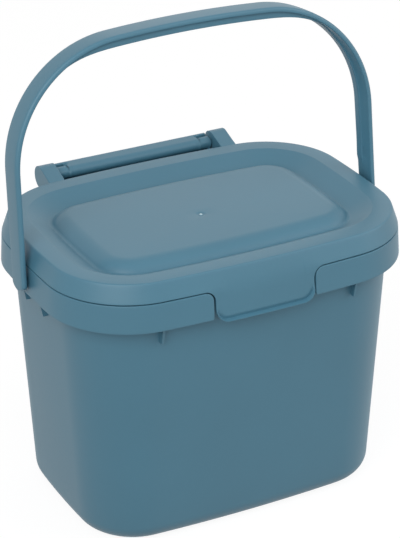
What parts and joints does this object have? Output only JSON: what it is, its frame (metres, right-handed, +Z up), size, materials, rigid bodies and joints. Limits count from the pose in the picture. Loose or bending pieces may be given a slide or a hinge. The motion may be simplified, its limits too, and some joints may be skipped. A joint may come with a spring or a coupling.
{
  "type": "food waste caddy",
  "caption": "Kitchen food waste caddy: tapered plastic bucket with rounded corners, hinged overhanging lid with a front opening tab, and a swinging bail handle.",
  "frame": {"origin": "middle of the flat underside of the base, on the surface that the caddy stands on", "axes": "+Z up, -Y towards the front with the opening tab, +X to the right as seen from the front"},
  "size_m": [0.2464, 0.1893, 0.3065],
  "materials": {
    "body_plastic": "satin moulded polypropylene, slate blue",
    "lid_plastic": "satin moulded polypropylene, slate blue",
    "handle_plastic": "satin moulded polypropylene, slate blue"
  },
  "bodies": {
    "caddy_body": {"caddy_body": "body_plastic"},
    "lid": {"lid": "lid_plastic"},
    "bail_handle": {"bail_handle": "handle_plastic"}
  },
  "joints": [
    {"name": "lid_hinge", "type": "hinge", "parent": "caddy_body", "child": "lid", "pos_m": [0, 0.0941, 0.1825], "axis": [-1, 0, 0], "range_deg": [0, 105]},
    {"name": "handle_swing", "type": "hinge", "parent": "caddy_body", "child": "bail_handle", "pos_m": [0, 0, 0.1625], "axis": [-1, 0, 0], "range_deg": [-135, 135]}
  ],
  "couplings": [
    {"joint": "handle_swing", "follows": "lid_hinge", "ratio": 0.9}
  ]
}
